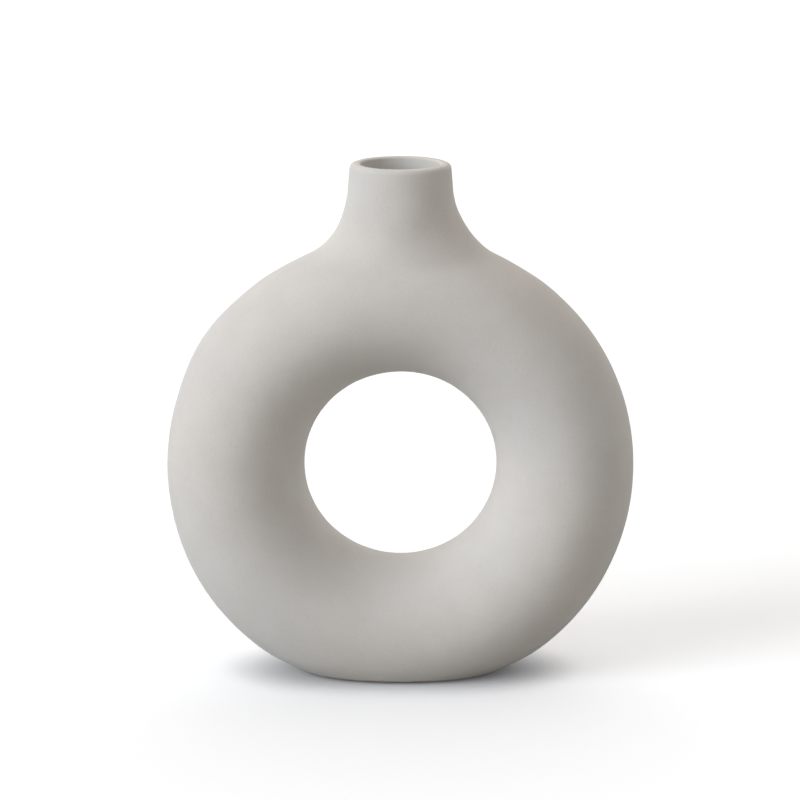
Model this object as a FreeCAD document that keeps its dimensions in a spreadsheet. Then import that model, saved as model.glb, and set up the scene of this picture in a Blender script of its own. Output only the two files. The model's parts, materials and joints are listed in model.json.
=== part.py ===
import FreeCAD, Part
import os
import re

import Sketcher

# A ring-shaped stoneware vase. A hollow ring of oval section stands on its edge, and a short round neck
# grows out of its top through a wide flare. The underside is flat, with a shallow recess inside its rim.
#
# The clay is worked up in three pieces that are luted together with slip and fired as one: a front half
# shell and a back half shell, which meet on the upright middle plane of the ring, and a neck collar on
# top of both. A waterproof glaze lines the inside up to the collar, and four felt pads stand a little
# proud of the foot.
#
# Frame: +Z is up, X runs across the ring and Y through its hole, and the front half shell lies towards
# -Y. The origin is on the table, under the middle of the vase. Lengths are in millimetres, and a name
# that ends in share is a plain ratio.

SIZES = {
    # Outside diameter of the ring, and its oval section: from hole to outside, and front to back.
    "ring_width": 190,
    "ring_section": 56,
    "ring_depth": 65,
    # Height taken off the bottom of the ring to make the foot, and the radius of the foot's edge.
    "foot_cut": 9,
    "foot_round": 4,
    # Width of the foot's standing rim, and depth of the recess inside it.
    "foot_rim": 6,
    "foot_recess": 1.5,
    # Height of the lip above the top of the ring, outside diameter of the neck at the lip, and how much
    # wider the neck gets, on each side, from the lip down to the top of the ring.
    "neck_rise": 28.5,
    "neck_width": 40.6,
    "neck_spread": 1.1,
    # Radius of the hollow curve between neck and ring, outside, and of the rounded throat, inside.
    "flare_radius": 30,
    "throat_radius": 18,
    # Thickness of the clay in the ring and neck, and over the foot.
    "wall": 4.2,
    "foot_wall": 5.5,
    # Height of the neck collar, from its joint to the lip.
    "collar_height": 18,
    # Radii of the lip's outer and inner edges, as shares of the wall.
    "lip_outer_share": 0.45,
    "lip_inner_share": 0.3,
    # Thickness of the glaze lining.
    "glaze": 0.4,
    # Diameter of a felt pad, how far it stands below the foot's rim, and how far out it sits, as a share
    # of the room that the recess leaves it.
    "pad_width": 8,
    "pad_proud": 0.5,
    "pad_place_share": 0.65,
    # How far a cutting shape runs past what it cuts.
    "overrun": 5,
}

# Lengths that follow from the sizes. Levels are heights above the table.
RING_RADIUS = "(ring_width - ring_section) / 2"
RING_LEVEL = "pad_proud + ring_width / 2 - foot_cut"
RING_CREST_LEVEL = f"{RING_LEVEL} + {RING_RADIUS}"
LIP_LEVEL = "pad_proud + ring_width - foot_cut + neck_rise"
JOINT_LEVEL = f"{LIP_LEVEL} - collar_height"
RECESS_LENGTH = "2 * sqrt((ring_width - foot_cut) * foot_cut) - 2 * foot_rim"
RECESS_DEPTH = "ring_depth * sqrt(1 - (1 - 2 * foot_cut / ring_section) ^ 2) - 2 * foot_rim"

doc = FreeCAD.newDocument("RingVase")
sheet = doc.addObject("Spreadsheet::Sheet", "Sizes")
for row, (alias, value) in enumerate(SIZES.items(), start=1):
    sheet.set(f"A{row}", alias)
    sheet.set(f"B{row}", str(value))
    sheet.setAlias(f"B{row}", alias)
doc.recompute()


def size(alias):
    """The present value of a size."""
    return float(sheet.get(alias))


def named(word):
    """A size's name as a formula knows it. Other words, such as sqrt, stay as they are."""
    return f"Sizes.{word[0]}" if word[0] in SIZES else word[0]


def bind(thing, path, formula):
    """Ties a property or a constraint to a formula in the names of the sizes."""
    thing.setExpression(path, re.sub("[a-z_]+", named, formula))


def new_sketch(body, name, role, level=None):
    """A sketch on one of the body's own origin planes, raised to a level if one is given."""
    sketch = body.newObject("Sketcher::SketchObject", name)
    plane = next(feature for feature in body.Origin.OriginFeatures if feature.Role == role)
    sketch.AttachmentSupport = (plane, [""])
    sketch.MapMode = "FlatFace"
    if level:
        bind(sketch, "AttachmentOffset.Base.z", level)
    return sketch


def measure(sketch, formula, *constraint):
    """Adds a dimension to a sketch and ties it to a formula."""
    number = sketch.addConstraint(Sketcher.Constraint(*constraint))
    bind(sketch, f"Constraints[{number}]", formula)


def draw_closed(sketch, corners):
    """A closed line through the corners, given as pairs, joined end to start."""
    points = [FreeCAD.Vector(*corner, 0) for corner in corners]
    for start, end in zip(points, points[1:] + points[:1]):
        sketch.addGeometry(Part.LineSegment(start, end), False)
    for side in range(len(points)):
        sketch.addConstraint(Sketcher.Constraint("Coincident", side, 2, (side + 1) % len(points), 1))


def draw_rectangle(sketch, aside, below, above):
    """A rectangle that reaches as far to each side of the sketch's origin, and below and above it."""
    reach = size("ring_width")
    draw_closed(sketch, [(-reach, -reach), (reach, -reach), (reach, reach), (-reach, reach)])
    bottom, right, top, left = range(4)
    for level_line in (bottom, top):
        sketch.addConstraint(Sketcher.Constraint("Horizontal", level_line))
    for upright_line in (right, left):
        sketch.addConstraint(Sketcher.Constraint("Vertical", upright_line))
    measure(sketch, aside, "DistanceX", bottom, 1, -1, 1, reach)
    measure(sketch, aside, "DistanceX", -1, 1, bottom, 2, reach)
    measure(sketch, below, "DistanceY", bottom, 1, -1, 1, reach)
    measure(sketch, above, "DistanceY", -1, 1, top, 1, reach)


def draw_ellipse(sketch, centre_x, across, along, across_formula, along_formula):
    """An ellipse on the sketch's level axis, with its full sizes along that axis and square to it."""
    centre = FreeCAD.Vector(centre_x, 0, 0)
    side = FreeCAD.Vector(centre_x + across / 2, 0, 0)
    end = FreeCAD.Vector(centre_x, along / 2, 0)
    upright = along > across
    curve = Part.Ellipse(end, side, centre) if upright else Part.Ellipse(side, end, centre)
    ellipse = sketch.addGeometry(curve, False)
    sketch.exposeInternalGeometry(ellipse)
    long_axis, short_axis = ellipse + 1, ellipse + 2
    upright_axis, level_axis = (long_axis, short_axis) if upright else (short_axis, long_axis)
    sketch.addConstraint(Sketcher.Constraint("Vertical", upright_axis))
    measure(sketch, across_formula, "Distance", level_axis, across)
    measure(sketch, along_formula, "Distance", upright_axis, along)
    return ellipse


def is_ring(face):
    """Whether a face is part of the ring's turned ellipse."""
    return isinstance(face.Surface, Part.SurfaceOfRevolution)


def is_neck(face):
    """Whether a face is part of the neck's cone or bore."""
    return isinstance(face.Surface, (Part.Cone, Part.Cylinder))


def is_level(face):
    """Whether a face is flat and level, as the foot and the lip are."""
    return isinstance(face.Surface, Part.Plane) and abs(face.Surface.Axis.z) > abs(face.Surface.Axis.y)


def edges_between(shape, one_kind, other_kind):
    """Names of the edges where a face of one kind meets a face of another kind."""
    names = []
    for number, edge in enumerate(shape.Edges, start=1):
        faces = shape.ancestorsOfType(edge, Part.Face)
        if any(one_kind(face) for face in faces) and any(other_kind(face) for face in faces):
            names.append(f"Edge{number}")
    return names


def round_edges(body, name, names, formula):
    """Rounds the named edges of the body's latest shape."""
    latest = body.Tip
    rounding = body.newObject("PartDesign::Fillet", name)
    rounding.Base = (latest, names)
    bind(rounding, "Radius", formula)
    doc.recompute()


def cut(body, name, sketch, formula, behind=True):
    """Cuts the sketch's outline out of the body, over a depth behind the sketch's plane or before it.

    It makes sure that the cut took clay away. Behind a level sketch is under it, and behind a sketch on
    the ring's middle plane is towards +Y.
    """
    before = body.Shape.Volume
    pocket = body.newObject("PartDesign::Pocket", name)
    pocket.Profile = sketch
    pocket.Reversed = not behind
    bind(pocket, "Length", formula)
    doc.recompute()
    if not pocket.Shape.Volume < before:
        raise RuntimeError(f"{name} took nothing away")


def turn(body, name, sketch):
    """Turns the sketch's outline all the way round the sketch's upright axis."""
    revolution = body.newObject("PartDesign::Revolution", name)
    revolution.Profile = sketch
    revolution.ReferenceAxis = (sketch, ["V_Axis"])
    revolution.Angle = 360
    doc.recompute()


def vase_form(name, inset, neck_foot_radius, neck_top_radius, curve_radius, floor_level):
    """The front half of the form of ring and neck, drawn in by an inset, over a flat floor.

    The ring is an ellipse turned about a level axis through its hole. The neck is a cone or a cylinder
    that starts inside the ring's crest and runs on past the lip, where the collar is trimmed later. The
    back half is cut away, and a ball rolled along the corner between ring and neck gives the flare.
    """
    body = doc.addObject("PartDesign::Body", name)
    section = new_sketch(body, f"{name}_section", "XY_Plane", RING_LEVEL)
    ellipse = draw_ellipse(
        section, size("ring_width") / 2, size("ring_section"), size("ring_depth"),
        f"ring_section - 2 * ({inset})", f"ring_depth - 2 * ({inset})",
    )
    section.addConstraint(Sketcher.Constraint("PointOnObject", ellipse, 3, -1))
    measure(section, RING_RADIUS, "DistanceX", -1, 1, ellipse, 3, size("ring_width") / 2)
    turn(body, f"{name}_ring", section)

    profile = new_sketch(body, f"{name}_neck_profile", "YZ_Plane")
    radius, height = size("neck_width") / 2, size("ring_width")
    draw_closed(profile, [(0, 0), (radius, 0), (radius, height), (0, height)])
    foot, side, top, axis = range(4)
    profile.addConstraint(Sketcher.Constraint("Horizontal", foot))
    profile.addConstraint(Sketcher.Constraint("Horizontal", top))
    profile.addConstraint(Sketcher.Constraint("PointOnObject", foot, 1, -2))
    profile.addConstraint(Sketcher.Constraint("PointOnObject", axis, 1, -2))
    measure(profile, RING_CREST_LEVEL, "DistanceY", -1, 1, foot, 1, height / 2)
    measure(profile, f"{LIP_LEVEL} + flare_radius", "DistanceY", -1, 1, axis, 1, height)
    measure(profile, neck_foot_radius, "DistanceX", foot, 1, foot, 2, radius)
    measure(profile, neck_top_radius, "DistanceX", axis, 1, side, 2, radius)
    turn(body, f"{name}_neck", profile)

    aside, back = "ring_width / 2 + overrun", "ring_depth / 2 + overrun"
    middle = new_sketch(body, f"{name}_middle_outline", "XZ_Plane")
    draw_rectangle(middle, aside, "foot_cut + overrun", f"{LIP_LEVEL} + flare_radius + overrun")
    cut(body, f"{name}_back", middle, back)
    round_edges(body, f"{name}_curve", edges_between(body.Shape, is_ring, is_neck), curve_radius)

    outline = new_sketch(body, f"{name}_floor_outline", "XY_Plane", floor_level)
    draw_rectangle(outline, aside, back, back)
    cut(body, f"{name}_floor", outline, "foot_cut + foot_wall + overrun")
    return body


def outside():
    """The outside of the vase: the neck widens downwards, and the foot has a round edge and a recess."""
    spread = "neck_spread / neck_rise"
    body = vase_form(
        "outside", inset="0",
        neck_foot_radius=f"neck_width / 2 + {spread} * (neck_rise + ring_section / 2)",
        neck_top_radius=f"neck_width / 2 - {spread} * flare_radius",
        curve_radius="flare_radius",
        floor_level="pad_proud",
    )
    round_edges(body, "foot_edge", edges_between(body.Shape, is_ring, is_level), "foot_round")

    outline = new_sketch(body, "foot_recess_outline", "XY_Plane", "pad_proud")
    length = 2 * ((size("ring_width") - size("foot_cut")) * size("foot_cut")) ** 0.5
    cut_share = 1 - 2 * size("foot_cut") / size("ring_section")
    depth = size("ring_depth") * (1 - cut_share ** 2) ** 0.5
    rims = 2 * size("foot_rim")
    ellipse = draw_ellipse(outline, 0, length - rims, depth - rims, RECESS_LENGTH, RECESS_DEPTH)
    outline.addConstraint(Sketcher.Constraint("Coincident", ellipse, 3, -1, 1))
    cut(body, "foot_hollow", outline, "foot_recess", behind=False)
    return body


def inside(name, inset):
    """The inside of the vase at an inset from its outside: a straight bore, a round throat, a flat floor."""
    radius = f"neck_width / 2 - ({inset})"
    return vase_form(
        name, inset=inset,
        neck_foot_radius=radius,
        neck_top_radius=radius,
        curve_radius=f"throat_radius + ({inset}) - wall",
        floor_level=f"pad_proud + foot_wall + ({inset}) - wall",
    )


def block(name, start_level, height):
    """A block wider and deeper than the ring, from one level up."""
    box = doc.addObject("Part::Box", name)
    bind(box, "Length", "ring_width + 2 * overrun")
    bind(box, "Width", "ring_depth + 2 * overrun")
    bind(box, "Height", height)
    bind(box, "Placement.Base.x", "-ring_width / 2 - overrun")
    bind(box, "Placement.Base.y", "-ring_depth / 2 - overrun")
    bind(box, "Placement.Base.z", start_level)
    return box


def combine(kind, name, base, tool):
    """A cut, a common part or a fusion of two shapes."""
    result = doc.addObject(f"Part::{kind}", name)
    result.Base = base
    result.Tool = tool
    result.Refine = True
    doc.recompute()
    return result


def mirrored(name, front):
    """The back half that matches a front half, in the upright middle plane of the ring."""
    back = doc.addObject("Part::Mirroring", name)
    back.Source = front
    back.Normal = FreeCAD.Vector(0, 1, 0)
    doc.recompute()
    return back


def whole(name, front):
    """A front half and its mirror image as one solid."""
    return combine("Fuse", name, front, mirrored(f"{name}_back", front))


def lip_edges(shape, outer):
    """Names of the edges at the top of the collar, on its outside or on its bore."""
    middle_level = (shape.BoundBox.ZMin + shape.BoundBox.ZMax) / 2
    middle_radius = (size("neck_width") - size("wall")) / 2
    names = []
    for name in edges_between(shape, is_neck, is_level):
        points = [vertex.Point for vertex in shape.getElement(name).Vertexes]
        on_top = all(point.z > middle_level for point in points)
        if on_top and all((point.x ** 2 + point.y ** 2 > middle_radius ** 2) == outer for point in points):
            names.append(name)
    return names


def neck_collar(clay):
    """The collar above the joint, with its lip rounded outside and in."""
    front = combine("Common", "collar_front", clay, block("collar_block", JOINT_LEVEL, "collar_height"))
    body = doc.addObject("PartDesign::Body", "neck_collar")
    body.BaseFeature = whole("collar_blank", front)
    doc.recompute()
    round_edges(body, "lip_outer_edge", lip_edges(body.Shape, outer=True), "wall * lip_outer_share")
    round_edges(body, "lip_inner_edge", lip_edges(body.Shape, outer=False), "wall * lip_inner_share")
    return body


def foot_pads():
    """Four felt discs, stuck to the ceiling of the foot's recess."""
    discs = []
    for side, x_sign in (("left", "-"), ("right", "")):
        for face, y_sign in (("front", "-"), ("back", "")):
            disc = doc.addObject("Part::Cylinder", f"pad_{side}_{face}")
            bind(disc, "Radius", "pad_width / 2")
            bind(disc, "Height", "pad_proud + foot_recess")
            bind(disc, "Placement.Base.x", f"{x_sign}pad_place_share * ({RECESS_LENGTH} - pad_width) / 2")
            bind(disc, "Placement.Base.y", f"{y_sign}pad_place_share * ({RECESS_DEPTH} - pad_width) / 2")
            discs.append(disc)
    pads = doc.addObject("Part::Compound", "foot_pads")
    pads.Links = discs
    doc.recompute()
    return pads


hollow = inside("hollow", "wall")
clay = combine("Cut", "clay", outside(), hollow)
lining = combine("Cut", "lining", hollow, inside("water", "wall + glaze"))
shell_block = block("shell_block", "0", JOINT_LEVEL)
front_half_shell = combine("Common", "front_half_shell", clay, shell_block)

PIECES = {
    "front_half_shell": front_half_shell,
    "back_half_shell": mirrored("back_half_shell", front_half_shell),
    "neck_collar": neck_collar(clay),
    "inner_glaze": whole("inner_glaze", combine("Common", "glaze_front", lining, shell_block)),
    "foot_pads": foot_pads(),
}

for thing in doc.Objects:
    if "Invalid" in thing.State or "Error" in thing.State:
        raise RuntimeError(f"{thing.Name} failed: {thing.State}")

os.makedirs("parts", exist_ok=True)
for label, piece in PIECES.items():
    piece.Label = label
    if piece.Shape.isNull() or not piece.Shape.isValid():
        raise RuntimeError(f"{label} has no sound shape")
    piece.Shape.exportStep(f"parts/{label}.step")
    print(f"{label}: {len(piece.Shape.Solids)} solids, {piece.Shape.Volume / 1000:.1f} cubic centimetres")
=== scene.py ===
# %% [markdown]
# The vase is a hollow ring of pale stoneware that stands on its edge, with a short neck grown out of
# its top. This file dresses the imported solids: it gives the clay one unbroken fired skin, lines the
# inside with glaze, makes the felt pads, and sets the vase on a pale floor in soft light.
#
# The solids come first, because they fix every size. Nothing below moves them. Each new piece is worked
# out from their corners and from a few sizes of the real vase, in metres, with +Z up, +X across the
# ring and +Y through its hole.

# %% Load the solids and note their box
import json
import math

import bpy
import numpy as np
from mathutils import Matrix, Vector


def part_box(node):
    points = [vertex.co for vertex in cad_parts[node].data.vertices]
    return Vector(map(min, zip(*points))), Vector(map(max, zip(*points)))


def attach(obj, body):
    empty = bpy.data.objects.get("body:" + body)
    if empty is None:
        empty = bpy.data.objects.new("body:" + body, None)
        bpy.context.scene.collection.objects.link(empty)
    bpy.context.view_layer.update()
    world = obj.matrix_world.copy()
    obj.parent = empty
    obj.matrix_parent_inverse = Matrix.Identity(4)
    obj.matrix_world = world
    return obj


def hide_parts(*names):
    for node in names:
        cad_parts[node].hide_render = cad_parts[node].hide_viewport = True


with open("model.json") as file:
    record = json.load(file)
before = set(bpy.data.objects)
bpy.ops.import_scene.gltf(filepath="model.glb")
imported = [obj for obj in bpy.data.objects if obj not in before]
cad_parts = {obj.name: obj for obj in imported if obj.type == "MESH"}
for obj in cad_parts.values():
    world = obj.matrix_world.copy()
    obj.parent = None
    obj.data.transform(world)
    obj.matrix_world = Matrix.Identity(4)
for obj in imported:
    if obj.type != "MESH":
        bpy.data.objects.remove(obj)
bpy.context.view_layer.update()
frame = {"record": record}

# %% [markdown]
# A potter would note a handful of sizes before starting: how wide and deep the ring is, how high the
# foot stands, where the collar is joined, and how thick the wall is. The solids' corners give most of
# them, so they are read from there. The rest, such as the radius of a curve, is named here.

# %% Sizes of the vase
MM = 0.001
ring_low, ring_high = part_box("front_half_shell")
collar_low, collar_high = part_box("neck_collar")
mouth = next(mount for mount in frame["record"]["mounts"] if mount["name"] == "mouth")

RING_WIDTH = ring_high.x - ring_low.x
RING_DEPTH = -2 * ring_low.y
RING_SECTION = 56 * MM
FOOT_LEVEL = ring_low.z
FOOT_CUT = 9 * MM
JOINT_LEVEL = collar_low.z
LIP_LEVEL = collar_high.z
BORE_RADIUS = mouth["dims"]["r_mm"] * MM
WALL = 4.2 * MM
FOOT_WALL = 5.5 * MM
GLAZE = 0.4 * MM
NECK_RISE = 28.5 * MM
NECK_SPREAD = 1.1 * MM
FLARE_RADIUS = 30 * MM
THROAT_RADIUS = 18 * MM

RING_RADIUS = (RING_WIDTH - RING_SECTION) / 2
RING_CENTRE = FOOT_LEVEL - FOOT_CUT + RING_WIDTH / 2
print(f"ring {RING_WIDTH / MM:.1f} wide and {RING_DEPTH / MM:.1f} deep, lip at {LIP_LEVEL / MM:.1f}")

# %% [markdown]
# The ring is an oval carried round a circle. Two angles name each of its points: one goes round the
# ring, the other round the oval. Everything that touches the ring, such as the flare under the neck,
# needs the way back too: the point of the oval that is nearest to a point in space. An oval has no short
# formula for that, so the search slides along the oval, each time aiming at the centre of the circle
# that fits it best there. A few slides are enough, for all points at once.

# %% Points on the ring and the nearest point of its oval
SLIDES = 12


def ring_points(around, section, across, along):
    """The ring's surface: an oval of half sizes across and along, carried round the ring's circle.

    Distance from the hole's axis = ring radius + across * cos(section), y = along * sin(section).
    """
    around, section = np.broadcast_arrays(around, section)
    reach = RING_RADIUS + across * np.cos(section)
    return np.stack(
        [reach * np.cos(around), along * np.sin(section), RING_CENTRE + reach * np.sin(around)], axis=-1
    )


def nearest_on_ring(points, across, along):
    """The two angles of the ring's nearest point, and the distance to it, below zero inside the ring.

    The point is turned into the oval's own plane: p = distance from the hole's axis - ring radius, q = y.
    """
    height = points[..., 2] - RING_CENTRE
    around = np.arctan2(height, points[..., 0])
    p = np.hypot(points[..., 0], height) - RING_RADIUS
    q = points[..., 1]
    cosine = np.full(p.shape, math.sqrt(0.5))
    sine = cosine.copy()
    for _ in range(SLIDES):
        centre_p = (across ** 2 - along ** 2) * cosine ** 3 / across
        centre_q = (along ** 2 - across ** 2) * sine ** 3 / along
        bend = np.hypot(across * cosine - centre_p, along * sine - centre_q)
        away = np.hypot(np.abs(p) - centre_p, np.abs(q) - centre_q)
        cosine = np.clip(((np.abs(p) - centre_p) * bend / away + centre_p) / across, 0, 1)
        sine = np.clip(((np.abs(q) - centre_q) * bend / away + centre_q) / along, 0, 1)
        length = np.hypot(cosine, sine)
        cosine, sine = cosine / length, sine / length
    section = np.arctan2(np.sign(q) * sine, np.sign(p) * cosine)
    distance = np.hypot(np.abs(p) - across * cosine, np.abs(q) - along * sine)
    inside = (p / across) ** 2 + (q / along) ** 2 < 1
    return around, section, np.where(inside, -distance, distance)


def halve(low, high, value, steps=50):
    """Where a rising function is zero, by halving the span from low to high again and again."""
    for _ in range(steps):
        middle = (low + high) / 2
        above = value(middle) > 0
        low, high = np.where(above, low, middle), np.where(above, middle, high)
    return (low + high) / 2


rim_point = np.array([RING_WIDTH / 2 + 10 * MM, 0, RING_CENTRE])
rim_gap = nearest_on_ring(rim_point, RING_SECTION / 2, RING_DEPTH / 2)[2]
print(f"a point 10 mm off the rim is found to be {rim_gap / MM:.3f} off")

# %% [markdown]
# Where the neck meets the ring, the potter smooths the corner with a wet rib until it is a hollow curve.
# The same shape comes from a ball that rolls along the corner and touches both sides: the flare is the
# part of the ball that lies between the two touching points. The rounded edge of the foot is the same
# thing from the inside, with a small ball that touches the ring and the flat underside.

# %% Balls that roll along a corner
def arc(centre, start, end, share):
    """Points on a ball from one touching point to another: an even turn from start to end, by shares."""
    first, last = start - centre, end - centre
    radius = np.linalg.norm(first, axis=-1, keepdims=True)
    cosine = np.sum(first * last, axis=-1, keepdims=True) / radius ** 2
    turn = np.arccos(np.clip(cosine, -1, 1))
    return centre + (np.sin((1 - share) * turn) * first + np.sin(share * turn) * last) / np.sin(turn)


def outward(azimuth, radius, level):
    """Points at a radius and a level, in the directions that the azimuths give round the upright axis."""
    return np.stack(
        [radius * np.cos(azimuth), radius * np.sin(azimuth), level + 0 * azimuth], axis=-1
    )


def flare_ball(azimuth, across, along, neck_radius, slope, radius):
    """The ball between neck and ring: its centre, where it touches the ring (two angles), and the neck.

    neck_radius(level) is the neck's radius, and slope its loss per rise. The centre keeps one ball's
    radius from the neck, so its level alone is sought: the one that is a ball's radius off the ring.
    """
    lean = math.atan(slope)

    def centre(level):
        return outward(azimuth, neck_radius(level) + radius / math.cos(lean), level)

    def gap(level):
        return nearest_on_ring(centre(level), across, along)[2] - radius

    start = np.full(azimuth.shape, RING_CENTRE + RING_RADIUS)
    level = halve(start, start + across + 2 * radius, gap)
    middle = centre(level)
    around, section, _ = nearest_on_ring(middle, across, along)
    neck_side = middle - outward(azimuth, radius * math.cos(lean), radius * math.sin(lean))
    return middle, around, section, neck_side


def foot_ball(azimuth, across, along, floor, radius):
    """The ball inside the foot's edge: its centre, where it touches the ring (two angles), and the floor."""

    def centre(reach):
        return outward(azimuth, reach, floor + radius)

    def gap(reach):
        return nearest_on_ring(centre(reach), across, along)[2] + radius

    reach = halve(np.zeros(azimuth.shape), np.full(azimuth.shape, RING_RADIUS), gap)
    middle = centre(reach)
    around, section, _ = nearest_on_ring(middle, across, along)
    return middle, around, section, outward(azimuth, reach, floor)

# %% [markdown]
# A skin is one closed net of four-sided faces over the whole form. The two limbs of the ring are plain
# grids. The crest, where the neck grows out, and the foot, where the ring is cut flat, each take a patch
# instead: a net with a round hole in it, whose outer border follows the grid of the limbs and whose inner
# border follows the touching points of the rolling ball. Because the same counts are used every time,
# the outside, the inside of the clay and both faces of the glaze have the same net, point for point, so
# that a wall's edge can be closed by joining points with the same number.

# %% Counts of the net
OVAL = 80
SEAM = 40
RIM = 2 * (OVAL + SEAM)
LIMB_ROWS = 61
PATCH_ROWS = 16
SHELL_ROWS = 20
COLLAR_ROWS = 10
EDGE_ROWS = 7
STAND_ROWS = 5
STEP_ROWS = 6
CEILING_ROWS = 10
CREST, FOOT = math.pi / 2, -math.pi / 2
CREST_REACH, FOOT_REACH = math.radians(34), math.radians(38)

azimuth = 2 * math.pi * (np.arange(RIM) - OVAL / 2) / RIM
azimuth_below = math.pi - azimuth
print(f"{RIM} columns round the neck, {OVAL} round the oval")


def border(centre, reach):
    """The patch's outer border as two angles of the ring, column by column.

    A rectangle: along the limb on one side, back along the hole, down the other limb, and along the hole.
    """
    corners = np.cumsum([0, OVAL, SEAM, OVAL, SEAM])
    column = np.arange(RIM)
    section = np.interp(column, corners, np.pi * np.array([-1, 1, 1, -1, -1]))
    around = np.interp(column, corners, centre + reach * np.array([-1, -1, 1, 1, -1]))
    return around, section


def patch(centre, reach, around, section, across, along):
    """Rows of ring points from the patch's border, itself left out, to its touching points, also left out.

    The two angles go evenly from the border's to the touching points': (1 - share) * border + share * touch.
    """
    share = np.linspace(0, 1, PATCH_ROWS + 1)[1:-1, None]
    border_around, border_section = border(centre, reach)
    return ring_points(
        (1 - share) * border_around + share * around,
        (1 - share) * border_section + share * section, across, along,
    )


# %% [markdown]
# Above the touching points the skin runs up the hollow flare and then the straight neck. The rows are
# spaced evenly along that path, and one row lies exactly on the level where the collar is joined on, all
# the way round, so that shells and collar can be parted there.

# %% Rows of the neck
def neck_rows(across, along, neck_radius, slope, radius, joint, top):
    """Touching points on the ring (two angles), and rows from there up the flare and the neck.

    The path at a share of its length is the ball's arc up to the neck, and then a straight line. The
    share that lies on the joint's level is found by halving.
    """
    middle, around, section, neck_side = flare_ball(azimuth, across, along, neck_radius, slope, radius)
    ring_side = ring_points(around, section, across, along)
    top_side = outward(azimuth, neck_radius(top), top)
    turn = np.arccos(np.sum((ring_side - middle) * (neck_side - middle), axis=-1) / radius ** 2)
    straight = np.linalg.norm(top_side - neck_side, axis=-1)
    bend_share = radius * turn / (radius * turn + straight)

    def path(share):
        on_arc = arc(middle, ring_side, neck_side, np.clip(share / bend_share, 0, 1)[..., None])
        rise = np.clip((share - bend_share) / (1 - bend_share), 0, 1)[..., None]
        return np.where((share < bend_share)[..., None], on_arc, neck_side + rise * (top_side - neck_side))

    joint_share = halve(np.zeros(RIM), np.ones(RIM), lambda share: path(share)[..., 2] - joint)
    below = np.linspace(0, 1, SHELL_ROWS)[:, None] * joint_share
    above = joint_share + np.linspace(0, 1, COLLAR_ROWS + 1)[1:, None] * (1 - joint_share)
    return around, section, path(np.concatenate([below, above]))


# %% [markdown]
# The foot of the real vase is sanded flat and hollowed a little, so that it stands on a rim and does not
# rock. The rim's outer edge is rounded by the small ball. Its inner edge, where the hollow begins, is
# only softened, as a sponge leaves it. Inside the vase the same rows lie flat on the floor.

# %% Rows of the foot
FOOT_ROUND = 4 * MM
FOOT_RIM = 6 * MM
FOOT_RECESS = 1.5 * MM
STEP_WIDTH = 0.9 * MM

cut_share = 1 - 2 * FOOT_CUT / RING_SECTION
RECESS_HALF_LENGTH = math.sqrt((RING_WIDTH - FOOT_CUT) * FOOT_CUT) - FOOT_RIM
RECESS_HALF_DEPTH = RING_DEPTH / 2 * math.sqrt(1 - cut_share ** 2) - FOOT_RIM
print(f"recess {2 * RECESS_HALF_LENGTH / MM:.1f} by {2 * RECESS_HALF_DEPTH / MM:.1f}")


def oval_outline(inset, level):
    """The recess's oval, drawn in by an inset, with one point in each column's direction.

    A point of the oval in a direction has the oval angle atan2(length * sin, depth * cos).
    """
    length, depth = RECESS_HALF_LENGTH - inset, RECESS_HALF_DEPTH - inset
    angle = np.arctan2(length * np.sin(azimuth_below), depth * np.cos(azimuth_below))
    return np.stack([length * np.cos(angle), depth * np.sin(angle), level + 0 * angle], axis=-1)


def foot_rows(across, along, floor, radius, recess):
    """Touching points on the ring (two angles), and rows from there over the edge to the middle point.

    Rounded edge, flat rim, a soft step up by the recess (height = recess * (3t^2 - 2t^3)), then flat.
    """
    middle, around, section, floor_side = foot_ball(azimuth_below, across, along, floor, radius)
    ring_side = ring_points(around, section, across, along)
    share = np.linspace(0, 1, EDGE_ROWS)[:, None, None]
    rows = [arc(middle, ring_side, floor_side, share)]
    rim_inside = oval_outline(-STEP_WIDTH / 2, floor)
    share = np.linspace(0, 1, STAND_ROWS + 1)[1:, None, None]
    rows.append((1 - share) * floor_side + share * rim_inside)
    for t in np.linspace(0, 1, STEP_ROWS + 1)[1:]:
        rows.append(oval_outline(STEP_WIDTH * (t - 0.5), floor + recess * (3 * t ** 2 - 2 * t ** 3))[None])
    centre = np.array([0, 0, floor + recess])
    share = np.linspace(0, 1, CEILING_ROWS + 1)[1:-1, None, None]
    rows.append((1 - share) * rows[-1] + share * centre)
    return around, section, np.concatenate(rows), centre


# %% [markdown]
# Now the rows are put together. A skin is a plain list of points in a fixed order: right limb, left limb,
# the two seams along the hole, the crest with the neck, and the foot. The faces are worked out once, from
# the same order.

# %% One skin, and the faces that all skins share
def limb(start, end, across, along):
    """A limb's grid: rows at even steps round the ring, columns at even steps round the oval."""
    around = np.linspace(start, end, LIMB_ROWS)[:, None]
    section = np.pi * (2 * np.arange(OVAL) / OVAL - 1)
    return ring_points(around, section, across, along)


def seam(centre, reach, across, along):
    """The points between the two limbs on the side of the hole."""
    around = np.linspace(centre - reach, centre + reach, SEAM + 1)[1:-1]
    return ring_points(around, np.full(SEAM - 1, np.pi), across, along)


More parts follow.
